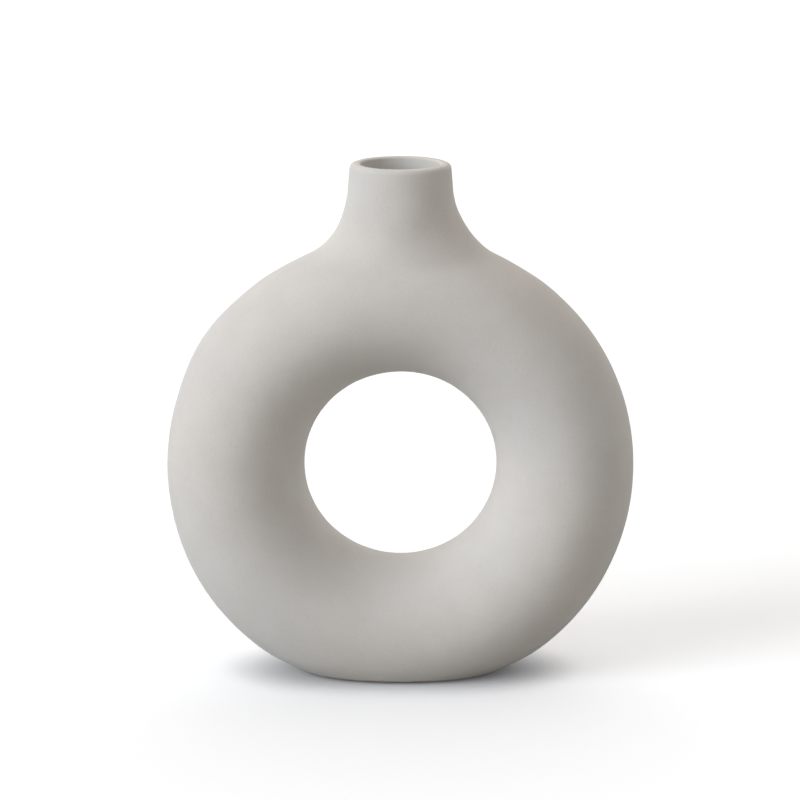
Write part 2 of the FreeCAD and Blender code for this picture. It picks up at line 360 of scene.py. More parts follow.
def skin(inset, neck_radius, slope, flare, joint, top, floor, edge, recess):
    """All points of one skin of the vase at an inset from the outside, as one list."""
    across, along = RING_SECTION / 2 - inset, RING_DEPTH / 2 - inset
    neck_around, neck_section, neck = neck_rows(across, along, neck_radius, slope, flare, joint, top)
    foot_around, foot_section, foot, centre = foot_rows(across, along, floor, edge, recess)
    blocks = [
        limb(FOOT + FOOT_REACH, CREST - CREST_REACH, across, along),
        limb(CREST + CREST_REACH, FOOT - FOOT_REACH + 2 * np.pi, across, along),
        seam(CREST, CREST_REACH, across, along),
        seam(FOOT, FOOT_REACH, across, along),
        patch(CREST, CREST_REACH, neck_around, neck_section, across, along),
        neck,
        patch(FOOT, FOOT_REACH, foot_around, foot_section, across, along),
        foot,
        centre,
    ]
    return np.concatenate([block.reshape(-1, 3) for block in blocks])


def strip(rows):
    """Four-sided faces between neighbouring rows of point numbers, each row closed on itself."""
    near, far = rows[:-1], rows[1:]
    return np.stack([near, np.roll(near, -1, 1), np.roll(far, -1, 1), far], axis=-1).reshape(-1, 4)


def net():
    """A skin's four-sided faces, the fan round the foot's middle point, and its rows from crest to top."""
    counts = [LIMB_ROWS * OVAL, LIMB_ROWS * OVAL, SEAM - 1, SEAM - 1, (PATCH_ROWS - 1) * RIM,
              (SHELL_ROWS + COLLAR_ROWS) * RIM, (PATCH_ROWS - 1) * RIM,
              (EDGE_ROWS + STAND_ROWS + STEP_ROWS + CEILING_ROWS - 1) * RIM]
    ends = np.cumsum(counts)
    right, left, crest_seam, foot_seam, crest, neck, foot_patch, foot = (
        np.arange(end - count, end) for end, count in zip(ends, counts))
    right, left = right.reshape(-1, OVAL), left.reshape(-1, OVAL)

    def closed(row):
        return np.append(row, row[0])

    crest_border = np.concatenate([closed(right[-1]), crest_seam, closed(left[0])[::-1], crest_seam[::-1]])
    foot_border = np.concatenate([closed(left[-1]), foot_seam, closed(right[0])[::-1], foot_seam[::-1]])
    up = np.concatenate([crest_border, crest, neck]).reshape(-1, RIM)
    down = np.concatenate([foot_border, foot_patch, foot]).reshape(-1, RIM)
    middle = ends[-1]
    fan = np.stack([down[-1], np.roll(down[-1], -1), np.full(RIM, middle)], axis=-1)
    quads = np.concatenate([strip(right), strip(left), strip(up), strip(down)])
    return quads, fan, up


quads, fan, rows_up = net()
joint_row, top_row = rows_up[PATCH_ROWS + SHELL_ROWS - 1], rows_up[-1]
print(f"a skin has {len(quads)} four-sided faces")

# %% [markdown]
# The clay has an outside and an inside. The outside's neck leans in by a millimetre from bottom to top,
# and the bore is straight. Between the two top rows comes the lip, which a thumb has rounded: more on
# the outside than on the bore. Its section is a quarter circle, a short flat and a smaller quarter circle.

# %% Skins of the clay and the lip between them
LIP_OUTER = 0.5 * WALL
LIP_INNER = 0.2 * WALL
LIP_TURNS = 7
INNER_EDGE = 2 * MM
SLOPE = NECK_SPREAD / NECK_RISE
CLAY_BORE = BORE_RADIUS + GLAZE
NECK_OUTSIDE = CLAY_BORE + WALL


def outer_neck(level):
    """The neck's outside: a cone."""
    return NECK_OUTSIDE + (LIP_LEVEL - level) * SLOPE


def bore(inset):
    """A straight bore at an inset from the neck's radius at the lip, as a function of the level."""
    return lambda level: NECK_OUTSIDE - inset + 0 * level


def quarter(radius, level, turns, corner, side):
    """Closed rows on a rounded edge: corner radius + side * round * cos(turn), level + round * sin(turn)."""
    return np.stack([
        outward(azimuth, corner + side * radius * math.cos(turn), level + radius * math.sin(turn))
        for turn in turns])


lean = math.atan(SLOPE)
outer_level = LIP_LEVEL - LIP_OUTER
inner_level = LIP_LEVEL - LIP_INNER
outer_corner = outer_neck(outer_level) - LIP_OUTER / math.cos(lean)
outer_turns = np.linspace(lean, math.pi / 2, LIP_TURNS)[1:]
inner_turns = np.linspace(math.pi / 2, 0, LIP_TURNS)[:-1]
lip = np.concatenate([
    quarter(LIP_OUTER, outer_level, outer_turns, outer_corner, 1),
    quarter(LIP_INNER, inner_level, inner_turns, CLAY_BORE + LIP_INNER, -1),
])
outer_top = outer_level + LIP_OUTER * math.sin(lean)
outside = skin(
    0, outer_neck, SLOPE, FLARE_RADIUS, JOINT_LEVEL, outer_top,
    FOOT_LEVEL, FOOT_ROUND, FOOT_RECESS)
inside = skin(
    WALL, bore(WALL), 0, THROAT_RADIUS, JOINT_LEVEL, inner_level,
    FOOT_LEVEL + FOOT_WALL, INNER_EDGE, 0)
for side_name, side_points in (("outside", outside), ("inside", inside)):
    print("the", side_name, "spans", np.round(np.ptp(side_points, axis=0) / MM, 2))

# %% [markdown]
# No fired ring is a perfect figure. The clay slumps a little in the kiln: the shoulders sink and the
# haunches swell, by less than a millimetre, and the left shoulder stands out by about one. Under the palm
# the surface is not quite even either, which shows as a faint change of shade. All of it is real shape,
# worked into the outside only. It dies away towards the foot, which is sanded flat, and the collar.

# %% The slump and the uneven surface
SLUMP = 0.85 * MM
LEAN_IN = 0.03 * MM
HAUNCH = 0.4 * MM
BULGE = 1.0 * MM
BULGE_TURN = math.radians(147)
BULGE_REACH = math.radians(17)
FOOT_FADE = 9 * MM
NECK_FADE = 24 * MM
HOLLOWS = 0.16 * MM
HOLLOW_CONTRAST = 0.35
WAVE_COUNT = 14
WAVE_LENGTH = 46 * MM
FEWEST, MOST = 0.6, 1.7

waves = np.random.default_rng(7)
wave_ways = waves.normal(size=(WAVE_COUNT, 3))
per_metre = 2 * np.pi / WAVE_LENGTH / np.linalg.norm(wave_ways, axis=1)
wave_ways *= (per_metre * waves.uniform(FEWEST, MOST, WAVE_COUNT))[:, None]
wave_starts = waves.uniform(0, 2 * np.pi, WAVE_COUNT)


def smooth_step(x):
    """From 0 to 1 as x goes from 0 to 1, level at both ends: 3x^2 - 2x^3."""
    x = np.clip(x, 0, 1)
    return 3 * x ** 2 - 2 * x ** 3


def triangles(faces):
    """Each four-sided face as two triangles."""
    return np.concatenate([faces[:, [0, 1, 2]], faces[:, [0, 2, 3]]])


def point_normals(points, corners):
    """Each point's normal: the sum of its triangles' normals, which their areas weigh, made one long."""
    a, b, c = (points[corners[:, k]] for k in range(3))
    weighted = np.cross(b - a, c - a)
    total = np.zeros(points.shape)
    for k in range(3):
        np.add.at(total, corners[:, k], weighted)
    return total / np.maximum(np.linalg.norm(total, axis=1, keepdims=True), 1e-30)


def bump_at(level, middle, reach):
    """From 0 to 1 and back round the middle: (1 - t^2)^2, with t = (level - middle) / reach."""
    t = np.clip((level - middle) / reach, -1, 1)
    return (1 - t ** 2) ** 2


def hand_worked(points, corners):
    """The outside after slump and handling.

    Slump, away from the hole: haunch * sin(2 around)^2 in the lower half - slump * sin(around)
    - lean * (1 + cos(around)) + bulge * bump(around) on the left shoulder, full on the ring's rim and
    nothing on its hole. Hollows, along the normal: a share of their depth from a sum of plane waves.
    """
    height = points[:, 2] - RING_CENTRE
    reach = np.hypot(points[:, 0], height)
    cosine, sine = points[:, 0] / reach, height / reach
    rim_share = (1 + np.clip((reach - RING_RADIUS) / (RING_SECTION / 2), -1, 1)) / 2
    fade = smooth_step((points[:, 2] - FOOT_LEVEL) / FOOT_FADE)
    fade *= 1 - smooth_step((points[:, 2] - JOINT_LEVEL + NECK_FADE) / NECK_FADE)
    haunch = HAUNCH * (2 * sine * cosine) ** 2 * smooth_step(-2 * sine)
    bulge = BULGE * bump_at(np.arctan2(sine, cosine), BULGE_TURN, BULGE_REACH)
    away = (haunch + bulge - SLUMP * sine - LEAN_IN * (1 + cosine)) * rim_share * fade
    slumped = points + away[:, None] * np.stack([cosine, 0 * cosine, sine], axis=1)
    uneven = np.sin(points @ wave_ways.T + wave_starts).mean(axis=1) * math.sqrt(WAVE_COUNT)
    depth = HOLLOWS * smooth_step(0.5 + HOLLOW_CONTRAST * uneven) * fade
    return slumped - depth[:, None] * point_normals(slumped, corners)


def print_moved(step, before, after):
    """Prints how far a step moved the outside's points."""
    moved = np.linalg.norm(after - before, axis=1) / MM
    print(f"{step} moved the outside by {moved.mean():.2f} on average, {moved.max():.2f} at most")


corners = np.concatenate([triangles(quads), fan])
slumped_outside = hand_worked(outside, corners)
print_moved("the slump", outside, slumped_outside)

# %% [markdown]
# The neck was pulled up by hand too. Its root stands a little to the right, its lower part is a little
# stouter, and a faint crease runs round where it leaves the ring. The lip is level but for the slightest
# waver, which the inside follows.

# %% The pulled neck and the lip's waver
SWAY = 0.75 * MM
SWAY_LEVEL = LIP_LEVEL - 31 * MM
SWAY_REACH = 16 * MM
SWELL = 0.6 * MM
SWELL_LEVEL = LIP_LEVEL - 20 * MM
SWELL_REACH = 22 * MM
CREASE = 0.6 * MM
CREASE_LEVEL = LIP_LEVEL - 41 * MM
CREASE_REACH = 9 * MM
LIP_DROP = 0.1 * MM


def lip_waver(points):
    """The collar's top, a hair lower here and there, with a the angle round the upright axis.

    Loss of height: drop * (0.5 + 0.3 sin(2a + 0.6) + 0.2 sin(3a + 2)) * rise from the joint to the lip.
    """
    turn = np.arctan2(points[..., 1], points[..., 0])
    loss = LIP_DROP * (0.5 + 0.3 * np.sin(2 * turn + 0.6) + 0.2 * np.sin(3 * turn + 2))
    rise = smooth_step((points[..., 2] - JOINT_LEVEL) / (LIP_LEVEL - JOINT_LEVEL))
    return points - np.stack([0 * loss, 0 * loss, loss * rise], axis=-1)


def pulled_neck(points):
    """The neck as a hand pulls it up: its root pushed to the right, its lower part a little stouter.

    To the right: sway * bump. Away from the upright axis: swell * bump - crease * bump, each at its level.
    """
    level = points[:, 2]
    right = SWAY * bump_at(level, SWAY_LEVEL, SWAY_REACH)
    out = SWELL * bump_at(level, SWELL_LEVEL, SWELL_REACH)
    out -= CREASE * bump_at(level, CREASE_LEVEL, CREASE_REACH)
    turn = np.arctan2(points[:, 1], points[:, 0])
    return points + np.stack([right + out * np.cos(turn), out * np.sin(turn), 0 * level], axis=1)


worked = pulled_neck(slumped_outside)
print_moved("the pull", slumped_outside, worked)

# %% [markdown]
# The clay is one closed surface: outside, lip and inside. On the bench it was three pieces, and the part
# keeps them: a front and a back half shell and the collar. If each were modelled and shaded alone, a line
# would show at the joints. So the whole surface is made first and its normals are taken. It is cut later,
# along the net's own lines.

# %% The whole clay surface and its normals
SKIN_POINTS = len(outside)
clay_points = np.concatenate([lip_waver(worked), lip_waver(inside), lip_waver(lip).reshape(-1, 3)])
lip_rows = 2 * SKIN_POINTS + np.arange(lip.shape[0] * RIM).reshape(-1, RIM)
lip_faces = strip(np.concatenate([top_row[None], lip_rows, top_row[None] + SKIN_POINTS]))
inner_quads = quads[:, ::-1] + SKIN_POINTS
inner_fan = fan[:, ::-1] + SKIN_POINTS
whole_corners = np.concatenate([
    triangles(quads), fan, triangles(inner_quads), inner_fan, triangles(lip_faces)])
clay_normals = point_normals(clay_points, whole_corners)
print(f"the whole clay has {len(clay_points)} points and {len(whole_corners)} triangles")

# %% [markdown]
# Every piece becomes a mesh in the same way: only the points that its faces use go in, with the normals
# of the whole surface where there are some. Faces in a joint are flat and keep their own normals.

# %% A mesh from points and faces
def new_piece(name, points, faces_4, faces_3, normals=None, flat_faces=None):
    """A mesh object from points and faces, with the points that no face uses left out.

    Where normals are given, every corner takes its point's normal, but flat faces keep their own.
    """
    loose = [faces_4, faces_3] if flat_faces is None else [faces_4, faces_3, flat_faces]
    used = np.unique(np.concatenate([faces.ravel() for faces in loose]))
    number = np.full(len(points), -1)
    number[used] = np.arange(len(used))
    face_list = [face for faces in loose for face in number[faces].tolist()]
    mesh = bpy.data.meshes.new(name)
    mesh.from_pydata(points[used].tolist(), [], face_list)
    mesh.shade_smooth()
    if normals is not None:
        corner_normals = [normals[faces.ravel()] for faces in loose[:2]]
        if flat_faces is not None:
            a, b, c = (points[flat_faces[:, k]] for k in range(3))
            flat = np.cross(b - a, c - a)
            flat /= np.linalg.norm(flat, axis=1, keepdims=True)
            corner_normals.append(np.repeat(flat, 4, axis=0))
        mesh.normals_split_custom_set(np.concatenate(corner_normals).tolist())
    piece = bpy.data.objects.new(name, mesh)
    bpy.context.scene.collection.objects.link(piece)
    print(f"{name}: {len(used)} points, {len(face_list)} faces")
    return piece


# %% [markdown]
# The collar is every face of the net above the joint's row, and the middle plane parts the rest into a
# front and a back half. Each piece takes the same faces of the outside and of the inside, and gets flat
# faces across the wall where it was joined. The light then runs over the joints as it does over the
# fired vase.

# %% Cut the clay into its three pieces
on_collar = np.zeros(SKIN_POINTS, bool)
on_collar[rows_up[PATCH_ROWS + SHELL_ROWS - 1:]] = True
on_top = np.zeros(SKIN_POINTS, bool)
on_top[top_row] = True


def joint_faces(faces_4, faces_3):
    """Faces across the wall along the open edges of some faces of the outside, but not at the top row.

    An edge is open where no face runs along it the other way. The wall's inner points have the same
    numbers plus the count of the outside's points.
    """
    edges = np.concatenate([
        np.stack([faces[:, k], np.roll(faces, -1, 1)[:, k]], axis=1)
        for faces in (faces_4, faces_3) for k in range(faces.shape[1])])
    code = edges[:, 0] * SKIN_POINTS + edges[:, 1]
    back = edges[:, 1] * SKIN_POINTS + edges[:, 0]
    first, second = edges[~np.isin(code, back) & ~on_top[edges].all(axis=1)].T
    return np.stack([second, first, first + SKIN_POINTS, second + SKIN_POINTS], axis=1)


def clay_piece(name, node, chosen_4, chosen_3, more):
    """One of the clay's pieces: some faces of the outside, the same of the inside, and its joint faces."""
    outer_4, outer_3 = quads[chosen_4], fan[chosen_3]
    faces_4 = np.concatenate([outer_4, inner_quads[chosen_4], more])
    faces_3 = np.concatenate([outer_3, inner_fan[chosen_3]])
    piece = new_piece(name, clay_points, faces_4, faces_3, clay_normals, joint_faces(outer_4, outer_3))
    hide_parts(node)
    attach(piece, "root")
    return piece


collar_faces = on_collar[quads].all(axis=1)
in_front = outside[quads][..., 1].mean(axis=1) < 0
fan_in_front = outside[fan][..., 1].mean(axis=1) < 0
no_fan = np.zeros(len(fan), bool)
no_faces = np.zeros((0, 4), int)
front_skin = clay_piece(
    "front_half_skin", "front_half_shell", ~collar_faces & in_front, fan_in_front, no_faces)
back_skin = clay_piece(
    "back_half_skin", "back_half_shell", ~collar_faces & ~in_front, ~fan_in_front, no_faces)
collar_skin = clay_piece("neck_collar_skin", "neck_collar", collar_faces, no_fan, lip_faces)

# %% [markdown]
# Stoneware is not quite watertight when it is left bare, so a potter pours glaze into the vase, swills it
# round and tips it out. It covers the inside as a thin glassy coat and stops in a soft, slightly wavy
# bead below the lip. Its back lies on the clay, so it has the clay's inner net. Its face has the same net
# one glaze further in, and near the bead it is drawn back to the clay in a quarter round.

# %% The glaze lining
BEAD = 1.3 * MM
GLAZE_WAVE = 1.6 * MM
glaze_line = JOINT_LEVEL - GLAZE_WAVE * (0.5 + 0.3 * np.sin(2 * azimuth + 1) + 0.2 * np.sin(5 * azimuth))
print(f"the glaze ends {(JOINT_LEVEL - glaze_line.max()) / MM:.1f} to "
      f"{(JOINT_LEVEL - glaze_line.min()) / MM:.1f} below the joint")


def glaze_skin(inset):
    """The clay's inner net at an inset, up to the glaze's wavy line."""
    return skin(inset, bore(inset), 0, THROAT_RADIUS + inset - WALL, glaze_line, LIP_LEVEL,
                FOOT_LEVEL + FOOT_WALL + inset - WALL, INNER_EDGE, 0)


glaze_back, glaze_face = glaze_skin(WALL), glaze_skin(WALL + GLAZE)
neck_rows_up = rows_up[PATCH_ROWS:PATCH_ROWS + SHELL_ROWS]
below_line = np.clip((glaze_line - glaze_face[neck_rows_up][..., 2]) / BEAD, 0, 1)
thickness_share = np.sqrt(1 - (1 - below_line) ** 2)[..., None]
glaze_face[neck_rows_up] = (glaze_back[neck_rows_up] * (1 - thickness_share)
                            + glaze_face[neck_rows_up] * thickness_share)
face_number = np.arange(SKIN_POINTS) + SKIN_POINTS
face_number[joint_row] = joint_row
glaze_quads = quads[~collar_faces]
lining = new_piece(
    "glaze_lining", np.concatenate([glaze_back, glaze_face]),
    np.concatenate([glaze_quads, face_number[glaze_quads[:, ::-1]]]),
    np.concatenate([fan, face_number[fan[:, ::-1]]]),
)
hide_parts("inner_glaze")
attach(lining, "root")

# %% [markdown]
# Four felt pads are stuck under the foot, in its recess, so that the raw clay doesn't scratch a shelf.
# A pad is punched from a sheet: its cut side is straight but fibrous, its lower edge is pressed
# round, and a thin film with the glue lies between felt and clay. Each pad is one profile turned about
# its middle, with its own small irregularity.

# %% One felt pad
PAD_RADIUS = 4 * MM
PAD_EDGE = 0.45 * MM
PAD_TURNS = 120
POLE_GAP = 0.2 * MM
UNDERSIDE_ROWS = 12
PAD_EDGE_ROWS = 7
SIDE_ROWS = 7
TOP_ROWS = 8
FILM = 0.16 * MM
FILM_STEP = 0.1 * MM
FILM_EDGE = 0.02 * MM
FELT_EDGE = 0.03 * MM
FUZZ = 0.07 * MM
FUZZ_WAVES = (3, 7, 13, 23, 37)
FUZZ_START = 0.8
FUZZ_SPAN = 0.15
pads_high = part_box("foot_pads")[1]
film_bottom = pads_high.z - FILM
pad_rng = np.random.default_rng(3)


def pad_profile():
    """Distance from the middle and height, from the middle of the underside to the middle of the top.

    A flat underside, a quarter round, the straight cut side, a small step in to the film, and its flat top.
    """
    felt = PAD_RADIUS - FUZZ
    flat = felt - PAD_EDGE
    film = felt - FILM_STEP
    turn = np.linspace(0, np.pi / 2, PAD_EDGE_ROWS)
    distance = np.concatenate([
        np.linspace(POLE_GAP, flat, UNDERSIDE_ROWS, endpoint=False),
        flat + PAD_EDGE * np.sin(turn),
        np.full(SIDE_ROWS, felt),
        [felt - FELT_EDGE, film, film],
        np.linspace(film, POLE_GAP, TOP_ROWS),
    ])
    height = np.concatenate([
        np.zeros(UNDERSIDE_ROWS),
        PAD_EDGE * (1 - np.cos(turn)),
        np.linspace(PAD_EDGE, film_bottom, SIDE_ROWS + 2)[1:-1],
        [film_bottom - FILM_EDGE, film_bottom, pads_high.z - FILM_EDGE],
        np.full(TOP_ROWS, pads_high.z),
    ])
    return distance, height


def felt_pad(middle):
    """One pad's points by row and column: its profile turned about its middle, with fuzz on the cut side.

    Fuzz, away from the middle: a mean of waves in turn and height, none on the two faces and the film.
    """
    distance, height = pad_profile()
    turn = np.linspace(0, 2 * np.pi, PAD_TURNS, endpoint=False)
    fuzz = np.zeros((len(distance), PAD_TURNS))
    for waves_round in FUZZ_WAVES:
        start = pad_rng.uniform(0, 2 * np.pi)
        lean = pad_rng.uniform(-2, 2) / MM
        fuzz += np.sin(waves_round * turn + lean * height[:, None] + start) / len(FUZZ_WAVES)
    on_felt = height < film_bottom - FILM_EDGE / 2
    side = smooth_step((distance / PAD_RADIUS - FUZZ_START) / FUZZ_SPAN) * on_felt
    out = distance[:, None] + FUZZ * fuzz * side[:, None]
    return np.stack([
        middle[0] + out * np.cos(turn), middle[1] + out * np.sin(turn),
        np.broadcast_to(height[:, None], out.shape)], axis=2)


print(f"a pad's profile has {len(pad_profile()[0])} rows, and its film is {FILM / MM:.2f} thick")

# %% [markdown]
# The four pads sit near the ends of the foot, two in front and two behind. They are one mesh of four
# closed bodies, and a fan closes each grid at both poles.

# %% The set of four pads
pad_points, pad_quads, pad_ends = [], [], []
for side_x in (-1, 1):
    for side_y in (-1, 1):
        middle = (side_x * (pads_high.x - PAD_RADIUS), side_y * (pads_high.y - PAD_RADIUS))
        grid = felt_pad(middle)
        start = sum(len(points) for points in pad_points)
        rows = start + np.arange(grid.shape[0] * PAD_TURNS).reshape(-1, PAD_TURNS)
        poles = start + grid.shape[0] * PAD_TURNS + np.arange(2)
        pad_points += [grid.reshape(-1, 3), np.array([[*middle, 0], [*middle, pads_high.z]])]
        pad_quads.append(strip(rows))
        for row, pole in ((rows[0][::-1], poles[0]), (rows[-1], poles[1])):
            pad_ends.append(np.stack([row, np.roll(row, -1), np.full(PAD_TURNS, pole)], axis=1))
pads = new_piece(
    "felt_pads", np.concatenate(pad_points), np.concatenate(pad_quads), np.concatenate(pad_ends))
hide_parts("foot_pads")
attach(pads, "root")

# %% [markdown]
# The finishes are worked out from a point's place on the vase, so they need no picture and no seam. One
# helper adds a node and joins it: a value goes into the socket itself, and another node's output is linked.

# %% Helpers for the finishes
def colour(red, green, blue):
    """A colour as a screen's 0 to 255 numbers, in the linear values that the shader takes."""
    share = np.array([red, green, blue]) / 255
    linear = np.where(share <= 0.04045, share / 12.92, ((share + 0.055) / 1.055) ** 2.4)
    return (*linear.tolist(), 1)


def feed(tree, node, inputs):
    """A node's inputs: another node's output is linked, and a plain value goes into the socket itself."""
    for key, value in dict(inputs).items():
        if isinstance(value, bpy.types.NodeSocket):
            tree.links.new(value, node.inputs[key])
        else:
            node.inputs[key].default_value = value


def add(tree, kind, inputs=(), **settings):
    """One node, with its settings made and its inputs fed. It returns the node."""
    node = tree.nodes.new(kind)
    for name, value in settings.items():
        setattr(node, name, value)
    feed(tree, node, inputs)
    return node


def noise(tree, place, scale, detail, roughness=0.5, distortion=0):
    """A cloudy value from 0 to 1, with its waves 1/scale metres long."""
    node = add(tree, "ShaderNodeTexNoise", {
        "Vector": place, "Scale": scale, "Detail": detail, "Roughness": roughness, "Distortion": distortion})
    return node.outputs["Fac"]


def between(tree, value, low, high, to_low=0, to_high=1):
    """A value's smooth rise from to_low to to_high as it goes from low to high."""
    node = add(tree, "ShaderNodeMapRange", {
        "Value": value, "From Min": low, "From Max": high, "To Min": to_low, "To Max": to_high,
    }, interpolation_type="SMOOTHSTEP")
    return node.outputs["Result"]


def blend(tree, share, first, second, how="MIX"):
    """Two colours mixed by a share."""
    node = add(tree, "ShaderNodeMix", {0: share, 6: first, 7: second}, data_type="RGBA", blend_type=how)
    return node.outputs[2]


def math_node(tree, how, first, second):
    """One sum of two values."""
    return add(tree, "ShaderNodeMath", {0: first, 1: second}, operation=how).outputs[0]


def relief(tree, height, depth, strength):
    """The normal of a surface with a fine relief, whose height from 0 to 1 stands for the depth."""
    bump = add(tree, "ShaderNodeBump", {"Height": height, "Distance": depth, "Strength": strength})
    return bump.outputs["Normal"]


def empty_tree(owner):
    """The nodes of a finish or of the room, with what a new one comes with taken out."""
    owner.use_nodes = True
    owner.node_tree.nodes.clear()
    return owner.node_tree


def new_finish(name):
    """An empty material: its tree, the place on the vase, that place's height, and the shader."""
    finish = bpy.data.materials.new(name)
    tree = empty_tree(finish)
    place = add(tree, "ShaderNodeTexCoord").outputs["Object"]
    height = add(tree, "ShaderNodeSeparateXYZ", {0: place}).outputs["Z"]
    shader = add(tree, "ShaderNodeBsdfPrincipled")
    add(tree, "ShaderNodeOutputMaterial", {"Surface": shader.outputs["BSDF"]})
    return finish, tree, place, height, shader


def put_on(finish, *pieces):
    """Gives some pieces their finish."""
    for piece in pieces:
        piece.data.materials.append(finish)
    print(finish.name, "on", [piece.name for piece in pieces])


print(f"a screen's grey of 128 is {colour(128, 128, 128)[0]:.3f} in linear light")

# %% [markdown]
# The outside is matt: a thin slip or matt glaze over pale stoneware, sponged smooth, with no shine at all.
# Close to, it isn't one colour. The coat lies a little thicker here and thinner there, which shows as broad
# clouds, warm and cool. Under them is the fine grain of the clay, and a few pinholes. The foot is
# sanded bare after the firing, so that is a shade warmer. The lip is painted a shade paler: a painted
# highlight where the light falls on its top.

# %% Fired clay
DRIFT_SCALE = 13
CLOUD_SCALE = 70
EDGE_SCALE = 160
PINHOLE_SCALE = 210
FEEL_SCALE = 240
RAW_SCALE = 900
GRAIN_SCALE = 1500
EDGE_WAVER = 0.5 * MM
BARE_UP_TO, COATED_FROM = 0.7 * MM, 1.3 * MM
# How far below the lip the painted highlight reaches.
LIP_HIGHLIGHT_REACH = 1.2 * MM
CLAY_RELIEF = 0.06 * MM

clay, tree, place, height, shader = new_finish("matt_stoneware")
drift = noise(tree, place, DRIFT_SCALE, 2)
clouds = noise(tree, place, CLOUD_SCALE, 4, 0.55)
grain = noise(tree, place, GRAIN_SCALE, 3, 0.6)
coat = blend(tree, between(tree, drift, 0.36, 0.64), colour(212, 211, 208), colour(217, 213, 208))
coat = blend(tree, between(tree, clouds, 0.3, 0.7, 0, 0.5), coat, colour(209, 205, 201))
coat = blend(tree, between(tree, grain, 0.45, 0.75, 0, 0.35), coat, colour(198, 193, 186))
pinholes = add(tree, "ShaderNodeTexVoronoi", {
    "Vector": place, "Scale": PINHOLE_SCALE, "Randomness": 1}).outputs["Distance"]
pinhole = between(tree, pinholes, 0.02, 0.055, 1, 0)
coat = blend(tree, math_node(tree, "MULTIPLY", pinhole, 0.35), coat, colour(168, 160, 150))
edge_waver = between(tree, noise(tree, place, EDGE_SCALE, 3), 0.2, 0.8, -EDGE_WAVER, EDGE_WAVER)
wavy_height = math_node(tree, "ADD", height, edge_waver)
raw_cloud = between(tree, noise(tree, place, RAW_SCALE, 4, 0.7), 0.35, 0.65)
raw = blend(tree, raw_cloud, colour(206, 194, 178), colour(190, 176, 158))
bare = between(tree, wavy_height, FOOT_LEVEL + BARE_UP_TO, FOOT_LEVEL + COATED_FROM, 1, 0)
coat = blend(tree, bare, coat, raw)
# Painted highlight: the top of the lip is painted paler, in place of the light that falls on it.
painted_lip_highlight = between(tree, wavy_height, LIP_LEVEL - LIP_HIGHLIGHT_REACH, LIP_LEVEL, 0, 0.45)
coat = blend(tree, painted_lip_highlight, coat, colour(224, 219, 211))
sponged = math_node(tree, "MULTIPLY", noise(tree, place, FEEL_SCALE, 2), 0.6)
skin_feel = math_node(tree, "ADD", sponged, grain)
skin_feel = math_node(tree, "SUBTRACT", skin_feel, math_node(tree, "MULTIPLY", pinhole, 0.8))
feed(tree, shader, {
    "Base Color": coat, "Roughness": between(tree, clouds, 0.3, 0.7, 0.84, 0.93),
    "Normal": relief(tree, skin_feel, CLAY_RELIEF, 0.5), "IOR": 1.45, "Specular IOR Level": 0.35})
put_on(clay, front_skin, back_skin, collar_skin)

# %% [markdown]
# The lining is a clear, faintly grey glaze on the same clay. It has run a little, so it is thinner high in
# the throat and pools on the floor inside, where it looks cooler and deeper. It shines softly.

# %% Lining glaze
RUN_STRETCH = (1, 1, 0.25)
RUN_SCALE = 120
RIPPLE_SCALE = 260
GLAZE_RELIEF = 0.1 * MM
POOL_LEVEL, CLEAR_LEVEL = 6 * MM, 60 * MM

glaze, tree, place, height, shader = new_finish("lining_glaze")
runs = add(tree, "ShaderNodeMapping", {"Vector": place, "Scale": RUN_STRETCH}).outputs["Vector"]
streaks = noise(tree, runs, RUN_SCALE, 3)
pooled = between(tree, height, POOL_LEVEL, CLEAR_LEVEL, 1, 0)
glass = blend(tree, between(tree, streaks, 0.3, 0.7), colour(214, 212, 207), colour(203, 202, 198))
glass = blend(tree, pooled, glass, colour(188, 192, 189))
feed(tree, shader, {
    "Base Color": glass, "Roughness": between(tree, streaks, 0.3, 0.7, 0.16, 0.3),
    "Normal": relief(tree, noise(tree, runs, RIPPLE_SCALE, 2), GLAZE_RELIEF, 0.3), "IOR": 1.52})
put_on(glaze, lining)

# %% [markdown]
# The felt is pressed wool in a natural beige. Its fibres lie in all directions and catch light at the
# edges, so it gets a soft sheen and a matted, thready texture. The film above it is plain and pale.

# %% Felt
THREAD_SCALE = 2600
MATTED_SCALE = 420
FELT_RELIEF = 0.12 * MM

felt_finish, tree, place, height, shader = new_finish("pad_felt")
threads = noise(tree, place, THREAD_SCALE, 5, 0.65, 2.2)
matted = noise(tree, place, MATTED_SCALE, 3)
wool = blend(tree, between(tree, threads, 0.3, 0.7), colour(150, 138, 120), colour(198, 187, 168))
wool = blend(tree, between(tree, matted, 0.35, 0.7, 0, 0.5), wool, colour(176, 165, 147))
film = between(tree, height, film_bottom - FELT_EDGE, film_bottom)
feed(tree, shader, {
    "Base Color": blend(tree, film, wool, colour(226, 222, 212)),
    "Roughness": between(tree, film, 0, 1, 0.95, 0.5),
    "Normal": relief(tree, threads, FELT_RELIEF, 0.8), "Sheen Weight": 0.35, "Sheen Roughness": 0.5})
put_on(felt_finish, pads)

# %% [markdown]
# The picture is a plain studio shot on a white sweep. The floor looks white to the camera but keeps the
# vase's shadow, and a faint glow of the other tint keeps that shadow grey. Near the clay, where little
# light gets in, it is darkened once more. To the vase it is only a pale grey floor, so that it doesn't
# lighten the underside too much.

# %% Floor
FLOOR_HALF = 6.0
FLOOR_DROP = 0.02 * MM
FLOOR_GREY = 0.42
FLOOR_BLUE = 0.97 * FLOOR_GREY
FLOOR_TINT = (1.122, 1.136, 1.136, 1)
GLOW_TINT = (0.75, 0.83, 1, 1)
FLOOR_GLOW = 0.12
CONTACT_REACH = 20 * MM
CONTACT_DEPTH = 0.5
CONTACT_SAMPLES = 16

floor_corners = np.array([[-1, -1], [1, -1], [1, 1], [-1, 1]]) * FLOOR_HALF
floor = new_piece(
    "floor", np.column_stack([floor_corners, np.full(4, -FLOOR_DROP)]),
    np.array([[0, 1, 2, 3]]), np.zeros((0, 3), int))


